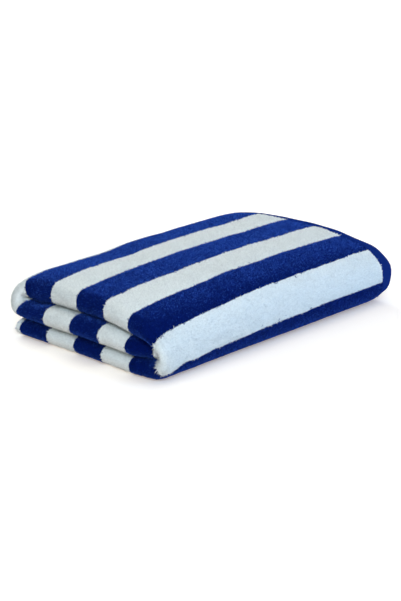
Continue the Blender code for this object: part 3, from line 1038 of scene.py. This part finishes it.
def terry_material(name, colour, sheen, tint):
    """Cotton pile: each tuft's own tone, nubs and fibres, and a soft sheen."""
    material = bpy.data.materials.new(name)
    n = Nodes(material)
    place = n.add("ShaderNodeTexCoord").outputs["Object"]
    nubs = n.noise(place, *NUBS)
    light = n.math("MULTIPLY_ADD", nubs, NUB_SHADE, 1.0 - NUB_SHADE / 2.0)
    n.shade(colour, n.math("MULTIPLY", light, n.math("ADD", n.value_of("tone"), 1.0)))
    fibres = n.math("MULTIPLY", n.noise(place, *FIBRES), FIBRE_SHARE)
    n.bump(n.math("ADD", n.math("MULTIPLY", nubs, NUB_SHARE), fibres), *PILE_BUMP)
    matt_cloth(n.shader, sheen, tint)
    return material


def band_material():
    """The flat-woven blue band: fine ribs along the towel, crossed by finer ones."""
    material = bpy.data.materials.new("blue_band")
    n = Nodes(material)
    ribs = n.math("SINE", n.math("MULTIPLY", n.value_of("across"), 2.0 * math.pi / RIB_PITCH))
    picks = n.math("SINE", n.math("MULTIPLY", n.value_of("along"), 2.0 * math.pi / PICK_PITCH))
    picks = n.math("MULTIPLY", picks, WEAVE_SHARE)
    weave = n.math("MULTIPLY_ADD", ribs, WEAVE_SHARE, picks)
    n.shade(BAND_BLUE, n.math("MULTIPLY_ADD", weave, WEAVE_SHADE, 1.0))
    n.bump(weave, *BAND_BUMP)
    matt_cloth(n.shader, BAND_SHEEN_WEIGHT, BLUE_SHEEN)
    return material


def matt_cloth(shader, sheen, tint):
    """Makes the shader matt, with a sheen of this weight and tint."""
    shader.inputs["Roughness"].default_value = CLOTH_ROUGHNESS
    shader.inputs["Specular IOR Level"].default_value = 0.0
    shader.inputs["Sheen Weight"].default_value = sheen
    shader.inputs["Sheen Roughness"].default_value = SHEEN_ROUGHNESS
    shader.inputs["Sheen Tint"].default_value = (*tint, 1.0)


# The room: a white floor, soft light and the camera.


def floor_material():
    material = bpy.data.materials.new("floor_white")
    shader = Nodes(material).shader
    shader.inputs["Base Color"].default_value = (*FLOOR_WHITE, 1.0)
    shader.inputs["Roughness"].default_value = FLOOR_ROUGHNESS
    shader.inputs["Specular IOR Level"].default_value = 0.0
    shader.inputs["Emission Color"].default_value = (*FLOOR_GLOW_COLOUR, 1.0)
    shader.inputs["Emission Strength"].default_value = FLOOR_GLOW
    return material


def make_floor():
    corners = np.array([[-1, -1, 0], [1, -1, 0], [1, 1, 0], [-1, 1, 0]], float)
    mesh = new_mesh("floor", corners * FLOOR_REACH, np.array([[0, 1, 2, 3]]))
    mesh.materials.append(floor_material())
    floor = bpy.data.objects.new("floor", mesh)
    floor.location.z = -FLOOR_BELOW
    bpy.context.scene.collection.objects.link(floor)


def area_light(name, place, looks_at, size, spread, watts, colour):
    """A square light at a place, turned to the place that it looks at."""
    data = bpy.data.lights.new(name, "AREA")
    data.shape = "SQUARE"
    data.size = size
    data.spread = spread
    data.energy = watts
    data.color = colour
    light = bpy.data.objects.new(name, data)
    light.location = place
    light.rotation_mode = "QUATERNION"
    light.rotation_quaternion = (Vector(looks_at) - light.location).to_track_quat("-Z", "Y")
    bpy.context.scene.collection.objects.link(light)


def make_light():
    world = bpy.data.worlds.new("studio")
    world.use_nodes = True
    background = world.node_tree.nodes["Background"]
    background.inputs["Color"].default_value = (1.0, 1.0, 1.0, 1.0)
    background.inputs["Strength"].default_value = WORLD_STRENGTH
    bpy.context.scene.world = world
    for name, *light in LIGHTS:
        area_light(name, *light)


def make_camera():
    data = bpy.data.cameras.new("photo_camera")
    data.lens = LENS
    data.sensor_width = SENSOR_WIDTH
    data.clip_start = CLIP_START
    data.clip_end = CLIP_END
    camera = bpy.data.objects.new("photo_camera", data)
    look = Vector(
        (
            math.cos(CAMERA_BEARING) * math.cos(CAMERA_HEIGHT),
            math.sin(CAMERA_BEARING) * math.cos(CAMERA_HEIGHT),
            -math.sin(CAMERA_HEIGHT),
        )
    )
    target = Vector((*CAMERA_LOOKS_AT, 0.0)) - Vector((*PACKET_MIDDLE, 0.0))
    camera.location = target - look * CAMERA_DISTANCE
    camera.rotation_mode = "QUATERNION"
    camera.rotation_quaternion = look.to_track_quat("-Z", "Y")
    bpy.context.scene.collection.objects.link(camera)
    bpy.context.scene.camera = camera


def make_towel():
    random = np.random.default_rng(SEED)
    length = packet_length()
    vertices, faces, across, along, bight_along = sheet_grid(length, random)
    white = terry_material("white_terry", WHITE, WHITE_SHEEN_WEIGHT, WHITE_SHEEN)
    blue = terry_material("blue_terry", BLUE, BLUE_SHEEN_WEIGHT, BLUE_SHEEN)
    mesh = new_mesh("towel_cloth", vertices, faces)
    set_values(mesh, "across", across)
    set_values(mesh, "along", along)
    middle_across, middle_along = across[faces].mean(1), along[faces].mean(1)
    choice = np.where(in_band(middle_along), 2, is_blue(middle_across, middle_along))
    cloth = add_piece("towel_cloth", mesh, [white, blue, band_material()], choice)
    pile = make_pile(vertices, faces, across, along, bight_along, [white, blue], random)


make_towel()
make_floor()
make_light()
make_camera()
bpy.context.scene.view_settings.view_transform = "Standard"
